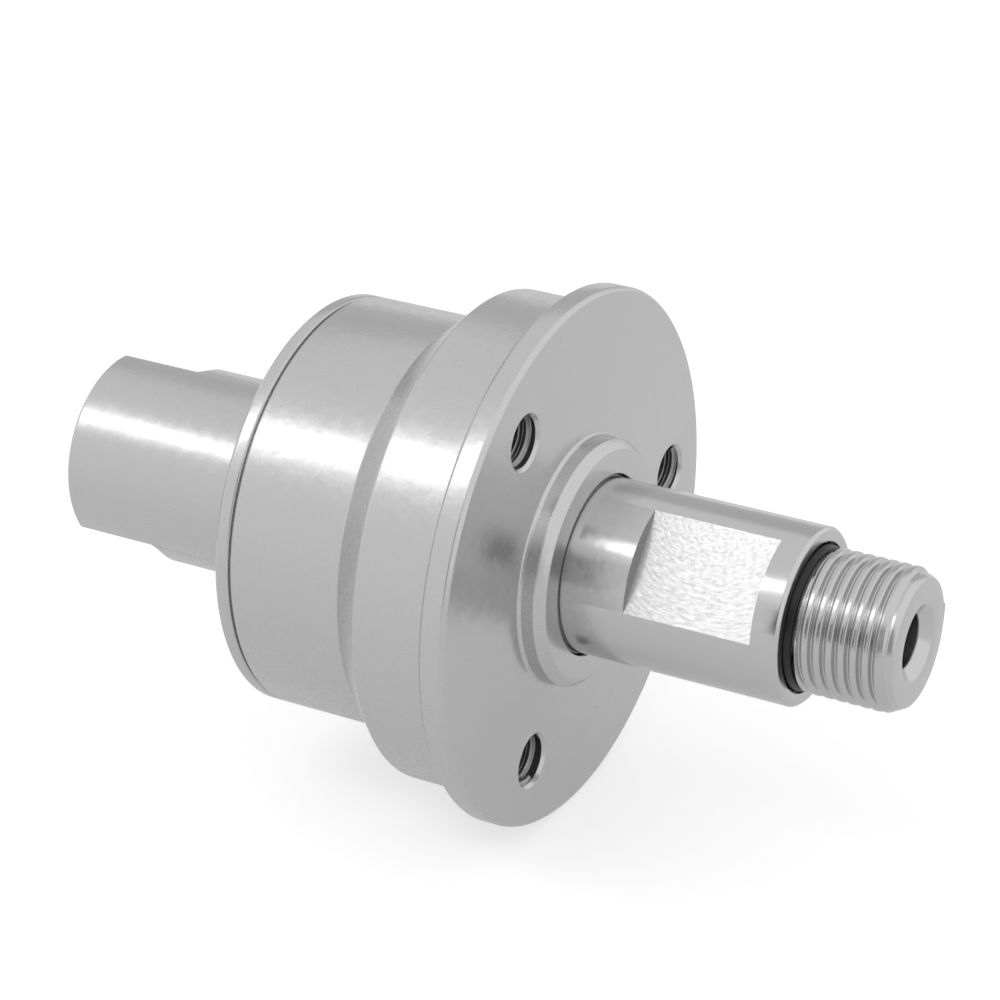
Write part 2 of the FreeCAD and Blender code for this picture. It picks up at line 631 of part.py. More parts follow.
def mill_shaft_flats(body):
    """Two opposite flats milled across the shaft, with square ends."""
    sketch = new_sketch(body, "wrench_flats", "YZ_Plane")
    sketch.setExpression("AttachmentOffset.Base.z", "Sizes.wrench_flat_front")
    sketch.setExpression("AttachmentOffset.Rotation.Angle", "Sizes.wrench_flat_angle")
    floor = "(Sizes.wrench_flats / 2)"
    reach = "(Sizes.shaft_diameter / 2 + Sizes.cut_margin)"
    for side in ("", "-"):
        near, far = f"{side}{floor}", f"{side}{reach}"
        add_loop(sketch, [(near, f"-{reach}"), (far, f"-{reach}"), (far, reach), (near, reach)])
    pocket = body.newObject("PartDesign::Pocket", "shaft_wrench_flats_cut")
    pocket.Profile = sketch
    pocket.setExpression("Length", "Sizes.wrench_flat_length")


def shaft():
    """Male thread, wrench flats, bearing seat, thrust collar and seal journal on one bored spindle."""
    radius = "(Sizes.shaft_diameter / 2)"
    thread = "(Sizes.male_thread / 2)"
    neck = "(Sizes.neck_diameter / 2)"
    recess = "(Sizes.ring_recess_diameter / 2)"
    lip_seat = "(Sizes.lip_journal / 2)"
    bearing_seat = "(Sizes.bearing_bore / 2)"
    clip_back = FRONT_BEARING
    clip_front = f"({clip_back} + Sizes.circlip_thickness)"
    mouth_depth = "((Sizes.bore_mouth - Sizes.flow_bore) / 2)"
    body = turned("shaft", [
        ("Sizes.male_thread_end", "Sizes.bore_mouth / 2"),
        ("Sizes.male_thread_end", f"{thread} - Sizes.male_thread_chamfer"),
        ("Sizes.male_thread_end - Sizes.male_thread_lead", thread),
        (f"Sizes.male_thread_start + {thread} - {neck}", thread),
        ("Sizes.male_thread_start", neck),
        (RECESS_FLOOR, neck),
        (RECESS_FLOOR, recess),
        ("Sizes.shaft_shoulder", recess),
        ("Sizes.shaft_shoulder", f"{radius} - Sizes.shaft_chamfer"),
        ("Sizes.shaft_shoulder - Sizes.shaft_chamfer", radius),
        (f"Sizes.lip_journal_front + {lip_seat} - {radius}", radius),
        ("Sizes.lip_journal_front", lip_seat),
        ("-Sizes.bearing_seat_front", lip_seat),
        ("-Sizes.bearing_seat_front", bearing_seat),
        (clip_front, bearing_seat),
        (clip_front, f"{bearing_seat} - Sizes.circlip_depth"),
        (clip_back, f"{bearing_seat} - Sizes.circlip_depth"),
        (clip_back, bearing_seat),
        (STACK_BACK, bearing_seat),
        (STACK_BACK, "Sizes.thrust_collar_diameter / 2"),
        (COLLAR_BACK, "Sizes.thrust_collar_diameter / 2"),
        (COLLAR_BACK, "Sizes.seal_journal / 2"),
        (f"{SHAFT_BACK} + Sizes.shaft_chamfer", "Sizes.seal_journal / 2"),
        (SHAFT_BACK, "Sizes.seal_journal / 2 - Sizes.shaft_chamfer"),
        (SHAFT_BACK, "Sizes.flow_bore / 2"),
        (f"Sizes.male_thread_end - {mouth_depth}", "Sizes.flow_bore / 2"),
    ])
    mill_shaft_flats(body)
    circlip("shaft_circlip", clip_back, clip_front, f"({bearing_seat} - Sizes.circlip_depth)", False)


def thread_seal_ring():
    """The elastomer ring in the shaft's recess, which seals the male thread against its port's face."""
    recess = "(Sizes.ring_recess_diameter / 2 - Sizes.seal_ring_clearance)"
    neck = "(Sizes.neck_diameter / 2 + Sizes.seal_ring_clearance)"
    front = f"({RECESS_FLOOR} + Sizes.seal_ring_length)"
    turned("thread_seal_ring", [
        (RECESS_FLOOR, neck),
        (RECESS_FLOOR, recess),
        ("Sizes.shaft_shoulder", recess),
        (front, f"{recess} - Sizes.seal_ring_bevel"),
        (front, neck),
    ])


def v_ring():
    """A rubber slinger on the seal journal: leaked oil is flung off before it reaches the bearings."""
    grip = "(Sizes.seal_journal / 2)"
    body_back = f"({COLLAR_BACK} - Sizes.v_ring_body)"
    root = f"({body_back} - Sizes.v_lip_hinge)"
    tip = f"({CAVITY_BACK} + Sizes.v_lip_gap)"
    rim = "(Sizes.v_ring_diameter / 2)"
    lip = "(Sizes.v_lip_diameter / 2)"
    turned("v_ring", [
        (COLLAR_BACK, grip), (COLLAR_BACK, rim), (body_back, rim),
        (tip, f"{lip} + Sizes.v_lip_edge"), (tip, lip), (root, f"{rim} - Sizes.v_lip_root"),
        (root, grip),
    ])


def write_parts():
    """Checks every object and every solid, then writes one file for each piece."""
    doc.recompute()
    broken = [item.Name for item in doc.Objects if "Invalid" in item.State or "Error" in item.State]
    if broken:
        raise RuntimeError(f"features that failed: {broken}")
    pieces = [item for item in doc.Objects if item.isDerivedFrom("PartDesign::Body")]
    pieces.append(doc.getObject("preload_wave_spring"))
    os.makedirs("parts", exist_ok=True)
    for piece in pieces:
        if piece.Shape.isNull() or not piece.Shape.isValid():
            raise RuntimeError(f"{piece.Label} has no valid shape")
        piece.Shape.exportStep(f"parts/{piece.Label}.step")
        print(f"{piece.Label}: {len(piece.Shape.Solids)} solids, {piece.Shape.Volume:.1f} mm3")


flanged_housing()
inlet_cap()
cap_o_ring()
dust_seal()
bearing_stack()
seal_pack()
shaft()
thread_seal_ring()
v_ring()
write_parts()
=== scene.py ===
# %% [markdown]
# # A hydraulic rotary union
#
# A rotary union lets a hose that stands still feed oil into a machine part that turns. The object is
# nearly all lathe work: a flanged housing, a cap screwed into its back, and a shaft that comes out of its
# front and ends in a pipe thread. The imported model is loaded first. It fixes every size and place, and
# this script only gives it the detail and the finish that the eye expects.

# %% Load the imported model
import json
import math

import bmesh
import bpy
from mathutils import Matrix, Vector


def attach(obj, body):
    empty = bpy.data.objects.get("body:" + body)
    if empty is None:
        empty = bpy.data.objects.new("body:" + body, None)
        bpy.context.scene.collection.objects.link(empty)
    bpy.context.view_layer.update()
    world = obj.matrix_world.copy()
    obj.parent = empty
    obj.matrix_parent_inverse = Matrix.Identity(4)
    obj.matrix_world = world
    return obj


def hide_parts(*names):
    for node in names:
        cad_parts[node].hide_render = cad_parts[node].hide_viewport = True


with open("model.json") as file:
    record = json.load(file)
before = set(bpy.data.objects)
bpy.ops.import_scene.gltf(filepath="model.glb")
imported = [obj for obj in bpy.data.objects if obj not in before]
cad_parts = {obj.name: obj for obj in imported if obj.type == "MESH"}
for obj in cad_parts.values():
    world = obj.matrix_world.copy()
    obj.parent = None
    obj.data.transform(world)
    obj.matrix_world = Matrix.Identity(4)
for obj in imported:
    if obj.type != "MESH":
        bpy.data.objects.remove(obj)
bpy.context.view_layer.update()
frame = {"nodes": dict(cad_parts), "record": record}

# %% [markdown]
# ## The camera
#
# The camera is the first thing to set, because it decides how large each detail shows. It looks at the
# shaft from the front right and from above with a long lens, as a product photographer does to keep
# round things round. Its place is written as a distance along the viewing direction and two small shifts
# across it, so the angle and the framing can be changed one at a time.

# %% Camera
MM = 0.001
AZIMUTH = math.radians(28.65)
ELEVATION = math.radians(26.26)
CAMERA_DISTANCE = 510.4 * MM
CAMERA_RIGHT = -11.28 * MM
CAMERA_UP = 8.55 * MM
LENS = 127.1
SENSOR_WIDTH = 36

camera_back = Vector((math.sin(AZIMUTH) * math.cos(ELEVATION),
                      -math.cos(AZIMUTH) * math.cos(ELEVATION),
                      math.sin(ELEVATION)))
camera_right = Vector((math.cos(AZIMUTH), math.sin(AZIMUTH), 0))
camera_up = camera_back.cross(camera_right)

camera = bpy.data.objects.new("camera", bpy.data.cameras.new("camera"))
camera.data.lens = LENS
camera.data.sensor_width = SENSOR_WIDTH
camera.data.clip_start = 0.05
camera.location = camera_back * CAMERA_DISTANCE + camera_right * CAMERA_RIGHT + camera_up * CAMERA_UP
camera.rotation_euler = Matrix((camera_right, camera_up, camera_back)).transposed().to_euler()
bpy.context.scene.collection.objects.link(camera)
bpy.context.scene.camera = camera
print("camera at", [round(c * 1000) for c in camera.location], "mm")

# %% [markdown]
# ## Turning a piece from its outline
#
# A lathe makes a piece by moving a tool along an outline while the work spins. The same idea works in a
# mesh: a few vertices trace half of the section, each corner is bevelled a little because no real edge is
# perfectly sharp, and the outline is spun about the axis. The other way, a cylinder for every step, would
# need booleans to join them, and every joint would lose its small rounded edge.
#
# Corners are (x, radius) pairs in millimetres. A third number rounds that corner more or less than the
# usual broken edge.

# %% A closed outline as a wire
EDGE_BREAK = 0.12


def wire(corners, rounding=EDGE_BREAK, segments=3):
    """A bmesh that holds one closed outline, its corners rounded."""
    bm = bmesh.new()
    groups = {}
    verts = []
    for x, radius, *own in corners:
        vert = bm.verts.new((x * MM, radius * MM, 0))
        verts.append(vert)
        groups.setdefault(own[0] if own else rounding, []).append(vert)
    for start, end in zip(verts, verts[1:] + verts[:1]):
        bm.edges.new((start, end))
    for size, group in groups.items():
        if size:
            bmesh.ops.bevel(bm, geom=group, offset=size * MM, offset_type="OFFSET", segments=segments,
                            profile=0.5, affect="VERTICES", clamp_overlap=True, material=-1)
    return bm


# %% Spin the outline about X
X_AXIS = (1, 0, 0)


def turned(corners, steps=256, rounding=EDGE_BREAK):
    """A solid of revolution about the X axis, with its faces pointing outwards."""
    bm = wire(corners, rounding)
    bmesh.ops.spin(bm, geom=bm.verts[:] + bm.edges[:], cent=(0, 0, 0), axis=X_AXIS, dvec=(0, 0, 0),
                   angle=2 * math.pi, space=Matrix.Identity(4), steps=steps, use_merge=True,
                   use_normal_flip=False, use_duplicate=False)
    bmesh.ops.recalc_face_normals(bm, faces=bm.faces)
    return bm


# %% [markdown]
# ## Threads
#
# A thread is the same spin with a small step along the axis at every turn of the outline, which makes a
# helix. The section is one tooth as wide as the pitch, with rounded crest and root, and a foot sunk below
# the surface that carries it. Where the thread runs out into a chamfer or a neck, the tooth is trimmed to
# a limit that depends on x alone, as the turning tool would leave it.

# %% A helical tooth
SEAM = 0.003
CLEAR = 0.02
THREAD_ROUNDING = 0.13
ROUNDED_SHARE = 0.9
FLANK_ANGLE = math.radians(27.5)


def thread(pitch, root, crest, start, end, limit, at_angle=0.0, steps=96, foot=0.3, valley=0.5):
    """A screw tooth about X between two stations, in millimetres.

    root and crest are its radii; a crest below the root makes an inside thread. limit(x) is the radius
    that the tooth may not pass. One crest lies at x = start + half a pitch where the angle is at_angle.
    valley is the share of the flat lengths that the root has. A hair's gap, SEAM, keeps the walls of two
    turns from lying on each other, so the tooth is one closed mesh.
    """
    inward = crest < root
    flank = abs(crest - root) * math.tan(FLANK_ANGLE)
    flats = pitch - 2 * flank
    low = flats * valley / 2
    high = flats * (1 - valley) / 2
    sunk = root + foot if inward else root - foot
    crest_soft = min(THREAD_ROUNDING * pitch, ROUNDED_SHARE * high)
    root_soft = min(THREAD_ROUNDING * pitch, ROUNDED_SHARE * low)
    bm = wire([(SEAM, root, 0), (low, root, root_soft), (pitch / 2 - high, crest, crest_soft),
               (pitch / 2 + high, crest, crest_soft), (pitch - low, root, root_soft),
               (pitch - SEAM, root, 0), (pitch - SEAM, sunk, 0), (SEAM, sunk, 0)])
    turns = (end - start) / pitch - 1
    count = round(turns * steps)
    bmesh.ops.translate(bm, vec=(start * MM, 0, 0), verts=bm.verts)
    bmesh.ops.rotate(bm, cent=(0, 0, 0), matrix=Matrix.Rotation(at_angle, 3, "X"), verts=bm.verts)
    bmesh.ops.spin(bm, geom=bm.verts[:] + bm.edges[:], cent=(0, 0, 0), axis=X_AXIS,
                   dvec=(pitch * MM / steps, 0, 0), angle=2 * math.pi * count / steps,
                   space=Matrix.Identity(4), steps=count, use_merge=False, use_normal_flip=False,
                   use_duplicate=False)
    bmesh.ops.holes_fill(bm, edges=[edge for edge in bm.edges if edge.is_boundary], sides=0)
    for vert in bm.verts:
        radius = math.hypot(vert.co.y, vert.co.z)
        bound = limit(vert.co.x / MM) * MM
        wanted = max(radius, bound) if inward else min(radius, bound)
        vert.co.yz = vert.co.yz * (wanted / radius)
    bmesh.ops.recalc_face_normals(bm, faces=bm.faces)
    return bm


# %% [markdown]
# ## From bmesh to a piece
#
# Each finished mesh becomes an object that rides on one of the model's moving bodies and stands for the
# CAD nodes that it replaces. Shading is smooth, and edges sharper than the limit stay crisp, so a
# bevelled corner rolls the light over while a milled edge cuts it off.

# %% Make a piece, and cut one mesh from another
SHARP = math.radians(32)
STRAIGHT = 0.999


def mesh_from(bm, name):
    """Moves a bmesh into a mesh with smooth shading between its sharp edges."""
    mesh = bpy.data.meshes.new(name)
    bm.to_mesh(mesh)
    bm.free()
    mesh.shade_smooth()
    mesh.set_sharp_from_angle(angle=SHARP)
    return mesh


def piece(bm, name, body, slot, *nodes):
    """An object that rides on a body and takes the place of CAD nodes."""
    obj = bpy.data.objects.new(name, mesh_from(bm, name))
    bpy.context.scene.collection.objects.link(obj)
    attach(obj, body)
    if nodes:
        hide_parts(*nodes)
    print(name, len(obj.data.polygons), "faces")
    return obj


def cut(bm, cutter):
    """Takes a closed cutter away from a bmesh and returns what is left."""
    work = bpy.data.objects.new("work", mesh_from(bm, "work"))
    tool = bpy.data.objects.new("tool", mesh_from(cutter, "tool"))
    for obj in (work, tool):
        bpy.context.scene.collection.objects.link(obj)
    boolean = work.modifiers.new("cut", "BOOLEAN")
    boolean.operation = "DIFFERENCE"
    boolean.solver = "EXACT"
    boolean.object = tool
    left = bmesh.new()
    left.from_object(work, bpy.context.evaluated_depsgraph_get())
    for obj in (work, tool):
        bpy.data.meshes.remove(obj.data)
    return left


def join(*parts):
    """One bmesh of several closed shells."""
    whole = bmesh.new()
    for part in parts:
        mesh = bpy.data.meshes.new("part")
        part.to_mesh(mesh)
        part.free()
        whole.from_mesh(mesh)
        bpy.data.meshes.remove(mesh)
    return whole


# %% [markdown]
# ## The housing
#
# Flange, locating boss, collar, cone and body are one stainless turning. Its outline repeats the CAD
# model's stations, with a wider fillet where the boss and the collar meet the flange, because a tool
# with a round nose leaves one there, and it catches a thin line of light. The inside is turned too, with
# its steps for the dust seal, the bearings and the cap, so the housing is a true shell.

# %% Housing outline
FLANGE_RADIUS = 40.0
FLANGE_BACK = -4.0
BOSS_FRONT = 3.8
BOSS_RADIUS = 18.4
BOSS_CHAMFER = 1.3
BOSS_BORE = 13.5
COLLAR_RADIUS = 36.75
COLLAR_BACK = -16.0
CONE_BACK = -22.0
CONE_ROUNDING = 0.25
BODY_RADIUS = 31.0
BODY_BACK = -39.65
EDGE_CHAMFER = 0.6
NOSE_FILLET = 0.6
CAP_SEAT = -34.4
CAP_BORE = 25.0
BEARING_BORE = 23.51
BEARING_STOP = -8.0
BEARING_STOP_BORE = 20.5
DUST_SEAL_BACK = -5.0
DUST_SEAL_FRONT = -1.0
DUST_SEAL_BORE = 18.5

housing = turned([
    (BOSS_FRONT, BOSS_BORE),
    (BOSS_FRONT, BOSS_RADIUS - BOSS_CHAMFER),
    (BOSS_FRONT - BOSS_CHAMFER, BOSS_RADIUS),
    (0, BOSS_RADIUS, NOSE_FILLET),
    (0, FLANGE_RADIUS - EDGE_CHAMFER),
    (-EDGE_CHAMFER, FLANGE_RADIUS),
    (FLANGE_BACK + EDGE_CHAMFER, FLANGE_RADIUS),
    (FLANGE_BACK, FLANGE_RADIUS - EDGE_CHAMFER),
    (FLANGE_BACK, COLLAR_RADIUS, NOSE_FILLET),
    (COLLAR_BACK, COLLAR_RADIUS, CONE_ROUNDING),
    (CONE_BACK, BODY_RADIUS, CONE_ROUNDING),
    (BODY_BACK, BODY_RADIUS),
    (BODY_BACK, CAP_BORE),
    (CAP_SEAT, CAP_BORE),
    (CAP_SEAT, BEARING_BORE),
    (BEARING_STOP, BEARING_BORE),
    (BEARING_STOP, BEARING_STOP_BORE),
    (DUST_SEAL_BACK, BEARING_STOP_BORE),
    (DUST_SEAL_BACK, DUST_SEAL_BORE),
    (DUST_SEAL_FRONT, DUST_SEAL_BORE),
    (DUST_SEAL_FRONT, BOSS_BORE),
], steps=320)
print("housing:", len(housing.verts), "vertices")

# %% [markdown]
# Three M8 holes are drilled, countersunk and tapped in the flange. A drill shape is spun about its own
# axis and taken away, and the tapped thread is a helical tooth that stands inwards from the wall of the
# hole. A bump texture would not do here, because the holes are looked into at a slant and their ridges
# catch the light one by one.
#
# The faces of the housing are then sorted by the tool that made them. The walls and ridges of the holes are
# drilled, and their darker grey is a painted shade for the inside of the holes. The faces that look forward
# are faced, which is smoother than the turned rest.

# %% Tapped holes
BOLT_CIRCLE_RADIUS = 30.0
BOLT_ANGLES = [math.radians(2.6 + 120 * index) for index in range(3)]
M8_PITCH = 1.25
M8_ROOT = 4.0
M8_CREST = 3.35
COUNTERSINK = 4.25
COUNTERSINK_END = 3.75
HOLE_DEPTH = 12.0
DRILL_HALF_ANGLE = math.radians(59)
ON_AXIS = 0.001
TAPPED_FROM = -0.6
DRILLED_FROM = -0.75
TURNED_SIDE, DRILLED_SHADED_SIDE, FACED_SIDE = range(3)


def to_bolt(bm, angle):
    """Moves what was made about the X axis to one hole of the bolt circle."""
    bmesh.ops.translate(bm, vec=(0, BOLT_CIRCLE_RADIUS * MM, 0), verts=bm.verts)
    bmesh.ops.rotate(bm, cent=(0, 0, 0), matrix=Matrix.Rotation(angle, 3, "X"), verts=bm.verts)


def drill():
    """A twist drill's shape with a countersink that runs down into the first turn of the thread."""
    slope = M8_ROOT / math.tan(DRILL_HALF_ANGLE)
    sink = COUNTERSINK - COUNTERSINK_END
    return turned([
        (1, ON_AXIS, 0),
        (1, COUNTERSINK + 1, 0),
        (-sink, COUNTERSINK_END, 0.05),
        (-sink - 0.2, M8_ROOT, 0),
        (-HOLE_DEPTH, M8_ROOT, 0),
        (-HOLE_DEPTH - slope, ON_AXIS, 0),
    ], steps=64)


threads = []
for angle in BOLT_ANGLES:
    cutter = drill()
    to_bolt(cutter, angle)
    housing = cut(housing, cutter)
    ridge = thread(M8_PITCH, M8_ROOT, M8_CREST, -HOLE_DEPTH, TAPPED_FROM,
                   lambda x: COUNTERSINK + x + CLEAR, steps=48, foot=0.15)
    to_bolt(ridge, angle)
    for face in ridge.faces:
        face.material_index = DRILLED_SHADED_SIDE
    threads.append(ridge)
# The walls of the holes get the darker drilled grey, a painted shade for their inside.
for angle in BOLT_ANGLES:
    centre = Vector((0, math.cos(angle), math.sin(angle))) * BOLT_CIRCLE_RADIUS * MM
    for face in housing.faces:
        away = face.calc_center_median() - centre
        in_depth = -HOLE_DEPTH - M8_ROOT < away.x / MM < DRILLED_FROM
        if in_depth and away.yz.length < (M8_ROOT + 0.05) * MM:
            face.material_index = DRILLED_SHADED_SIDE
for face in housing.faces:
    if face.normal.x > STRAIGHT and face.material_index == TURNED_SIDE:
        face.material_index = FACED_SIDE
print("drilled faces:", sum(face.material_index == DRILLED_SHADED_SIDE for face in housing.faces))
housing_piece = piece(join(housing, *threads), "housing_shell", "housing", "turned_steel",
                      "flanged_housing")

# %% [markdown]
# ## The inlet cap
#
# The cap screws into the back of the housing. Only its ring and its wrench stub show, behind a thin dark
# groove. The stub has two flats whose front ends curve up where the milling cutter left the work, and a
# G1/2 inlet port with an inside thread. Inside are the pocket of the pressure seal with the groove of its
# circlip, and outside the spigot with the groove of the O-ring.

# %% Cap outline
RING_FRONT = -40.15
RING_BACK = -42.6
STUB_BACK = -79.3
STUB_RADIUS = 15.0
PORT_RADIUS = 10.4775
PORT_FLOOR = STUB_BACK + 18
PORT_CHAMFER = 0.8
STUB_CHAMFER = 0.6
RING_ROUNDING = 0.4
SPIGOT_FRONT = -30.4
SPIGOT_RADIUS = 23.41
SPIGOT_BORE = 19.5
SPIGOT_FLOOR = -35.0
O_RING_FRONT = -31.3
O_RING_BACK = -33.5
O_RING_FLOOR = 22.01
CAP_THREAD_RADIUS = 24.97
GROOVE_FLOOR = 30.3
PASSAGE_RADIUS = 5.0
POCKET_BACK = -58.0
POCKET_RADIUS = 12.0
CIRCLIP_BACK = -38.2
CIRCLIP_FRONT = -37.0
CIRCLIP_RADIUS = 12.7

cap = turned([
    (SPIGOT_FRONT, SPIGOT_BORE),
    (SPIGOT_FRONT, SPIGOT_RADIUS),
    (O_RING_FRONT, SPIGOT_RADIUS),
    (O_RING_FRONT, O_RING_FLOOR),
    (O_RING_BACK, O_RING_FLOOR),
    (O_RING_BACK, SPIGOT_RADIUS),
    (CAP_SEAT, SPIGOT_RADIUS),
    (CAP_SEAT, CAP_THREAD_RADIUS),
    (BODY_BACK, CAP_THREAD_RADIUS),
    (BODY_BACK, GROOVE_FLOOR),
    (RING_FRONT, GROOVE_FLOOR),
    (RING_FRONT, BODY_RADIUS, RING_ROUNDING),
    (RING_BACK + EDGE_CHAMFER, BODY_RADIUS),
    (RING_BACK, BODY_RADIUS - EDGE_CHAMFER),
    (RING_BACK, STUB_RADIUS, NOSE_FILLET),
    (STUB_BACK + STUB_CHAMFER, STUB_RADIUS),
    (STUB_BACK, STUB_RADIUS - STUB_CHAMFER),
    (STUB_BACK, PORT_RADIUS + PORT_CHAMFER),
    (STUB_BACK + PORT_CHAMFER, PORT_RADIUS),
    (PORT_FLOOR, PORT_RADIUS),
    (PORT_FLOOR, PASSAGE_RADIUS),
    (POCKET_BACK, PASSAGE_RADIUS),
    (POCKET_BACK, POCKET_RADIUS),
    (CIRCLIP_BACK, POCKET_RADIUS),
    (CIRCLIP_BACK, CIRCLIP_RADIUS),
    (CIRCLIP_FRONT, CIRCLIP_RADIUS),
    (CIRCLIP_FRONT, POCKET_RADIUS),
    (SPIGOT_FLOOR, POCKET_RADIUS),
    (SPIGOT_FLOOR, SPIGOT_BORE),
])
print("cap:", len(cap.verts), "vertices")

# %% Stub flats
STUB_FLAT = 13.5
STUB_FLAT_FRONT = STUB_BACK + 14.4
RUNOUT = 1.2
STUB_FLAT_ANGLE = math.radians(58.6)
CUT_WIDTH = 40.0
CUT_DEPTH = 8.0
CUT_PAST = 2.0


def stub_cutter(angle):
    """A block whose lower front edge is rounded like the milling cutter's path."""
    back = STUB_BACK - CUT_PAST
    top = STUB_FLAT + CUT_DEPTH
    bm = wire([(back, STUB_FLAT, 0), (STUB_FLAT_FRONT, STUB_FLAT, RUNOUT),
               (STUB_FLAT_FRONT, top, 0), (back, top, 0)], segments=10)
    bmesh.ops.translate(bm, vec=(0, 0, -CUT_WIDTH / 2 * MM), verts=bm.verts)
    side = bmesh.ops.edgeloop_fill(bm, edges=bm.edges)["faces"]
    grown = bmesh.ops.extrude_face_region(bm, geom=side)["geom"]
    bmesh.ops.translate(bm, vec=(0, 0, CUT_WIDTH * MM),
                        verts=[item for item in grown if isinstance(item, bmesh.types.BMVert)])
    bmesh.ops.recalc_face_normals(bm, faces=bm.faces)
    bmesh.ops.rotate(bm, cent=(0, 0, 0), matrix=Matrix.Rotation(angle, 3, "X"), verts=bm.verts)
    return bm


for angle in (STUB_FLAT_ANGLE, STUB_FLAT_ANGLE + math.pi):
    cap = cut(cap, stub_cutter(angle))
print("cap after milling:", len(cap.faces), "faces")

# %% Inlet thread
G_PITCH = 25.4 / 14
G_CREST = 10.4775
G_ROOT = 9.3155
INLET_START = PORT_FLOOR - 17.9
INLET_END = PORT_FLOOR - 2

inlet_thread = thread(G_PITCH, G_CREST, G_ROOT, INLET_START, INLET_END,
                      lambda x: PORT_RADIUS + PORT_CHAMFER + STUB_BACK - x + CLEAR)
cap_piece = piece(join(cap, inlet_thread), "inlet_cap_shell", "housing", "turned_steel", "inlet_cap")

# %% [markdown]
# ## The shaft
#
# The shaft is a longer turning with two wrench flats and a G1/2 male thread. Its core is turned to the
# thread's root diameter and the helical tooth is laid over it. The tooth's limit is a steep cone at
# the neck and the lead-in chamfer at the other end, so the first and last turns fade out as on the real
# one.

# %% Shaft outline
SHAFT_RADIUS = 13.0
SHOULDER = 37.35
RECESS_FLOOR = 35.8
RECESS = 10.95
NECK = 9.2
NECK_END = 38.4
THREAD_END = 53.0
THREAD_ROOT = 9.75
THREAD_CHAMFER = 1.2
CHAMFER_LENGTH = 2.2
BORE = 4.0
BORE_MOUTH = 5.65
SHOULDER_CHAMFER = 0.5
JOURNAL = 13.3
JOURNAL_FRONT = 3.1
JOURNAL_STEP = 3.4
SEAT_FRONT = -5.4
SEAT_RADIUS = 15.0
SHAFT_CIRCLIP_FRONT = -6.8
SHAFT_CIRCLIP_FLOOR = 14.3
SHAFT_COLLAR_FRONT = -29.0
SHAFT_COLLAR_BACK = -32.0
SHAFT_COLLAR_RADIUS = 17.5
TAIL_RADIUS = 8.0
TAIL_BACK = -57.0
TAIL_CHAMFER = 0.5

shaft = turned([
    (THREAD_END, BORE_MOUTH),
    (THREAD_END, G_CREST - THREAD_CHAMFER),
    (THREAD_END - CHAMFER_LENGTH * (1 - (G_CREST - THREAD_ROOT) / THREAD_CHAMFER), THREAD_ROOT, 0.05),
    (NECK_END + THREAD_ROOT - NECK, THREAD_ROOT, 0.05),
    (NECK_END, NECK, 0.05),
    (RECESS_FLOOR, NECK),
    (RECESS_FLOOR, RECESS),
    (SHOULDER, RECESS),
    (SHOULDER, SHAFT_RADIUS - SHOULDER_CHAMFER),
    (SHOULDER - SHOULDER_CHAMFER, SHAFT_RADIUS),
    (JOURNAL_STEP, SHAFT_RADIUS, 0.1),
    (JOURNAL_FRONT, JOURNAL, 0.1),
    (SEAT_FRONT, JOURNAL),
    (SEAT_FRONT, SEAT_RADIUS),
    (SHAFT_CIRCLIP_FRONT, SEAT_RADIUS),
    (SHAFT_CIRCLIP_FRONT, SHAFT_CIRCLIP_FLOOR),
    (BEARING_STOP, SHAFT_CIRCLIP_FLOOR),
    (BEARING_STOP, SEAT_RADIUS),
    (SHAFT_COLLAR_FRONT, SEAT_RADIUS),
    (SHAFT_COLLAR_FRONT, SHAFT_COLLAR_RADIUS),
    (SHAFT_COLLAR_BACK, SHAFT_COLLAR_RADIUS),
    (SHAFT_COLLAR_BACK, TAIL_RADIUS),
    (TAIL_BACK + TAIL_CHAMFER, TAIL_RADIUS),
    (TAIL_BACK, TAIL_RADIUS - TAIL_CHAMFER),
    (TAIL_BACK, BORE),
    (THREAD_END - BORE_MOUTH + BORE, BORE),
])
print("shaft:", len(shaft.verts), "vertices")

# %% Wrench flats
FLAT = 10.5
FLAT_FRONT = 33.3
FLAT_LENGTH = 19.5
FLAT_ANGLE = math.radians(140.5)
FLAT_CUT_DEPTH = 10.0
MILLED_SIDE, CUT_SIDE, BORE_AND_WALL_SHADED_SIDE = range(1, 4)


def flat_cutter(angle):
    """A milling pass across the shaft, square at both ends."""
    centre = ((FLAT_FRONT - FLAT_LENGTH / 2) * MM, (FLAT + FLAT_CUT_DEPTH / 2) * MM, 0)
    bm = bmesh.new()
    bmesh.ops.create_cube(bm, size=1)
    bmesh.ops.scale(bm, vec=(FLAT_LENGTH * MM, FLAT_CUT_DEPTH * MM, CUT_WIDTH * MM), verts=bm.verts)
    bmesh.ops.translate(bm, vec=centre, verts=bm.verts)
    bmesh.ops.rotate(bm, cent=(0, 0, 0), matrix=Matrix.Rotation(angle, 3, "X"), verts=bm.verts)
    return bm


for angle in (FLAT_ANGLE, FLAT_ANGLE + math.pi):
    shaft = cut(shaft, flat_cutter(angle))
out_of_the_flat = Vector((0, math.cos(FLAT_ANGLE), math.sin(FLAT_ANGLE)))
for face in shaft.faces:
    middle = face.calc_center_median()
    on_flat = abs(face.normal.dot(out_of_the_flat)) > STRAIGHT
    if on_flat and middle.yz.length < (FLAT + 0.5) * MM:
        face.material_index = MILLED_SIDE
    # The end walls of the flats and the shaft's bore take the darker drilled grey, a painted shade.
    in_the_cut = FLAT_FRONT - FLAT_LENGTH - 0.1 < middle.x / MM < FLAT_FRONT + 0.7
    end_wall = in_the_cut and abs(face.normal.x) > STRAIGHT
    if end_wall or middle.yz.length < (BORE + 0.1) * MM:
        face.material_index = BORE_AND_WALL_SHADED_SIDE
milled = sum(face.material_index == MILLED_SIDE for face in shaft.faces)
print("shaft after milling:", milled, "milled faces")

# %% Male thread
NEAR_ANGLE = math.radians(150.65)
FIRST_CREST = 38.28 - G_PITCH
ENTRY_SLOPE = 2.5
UNDER_THE_CORE = 0.2


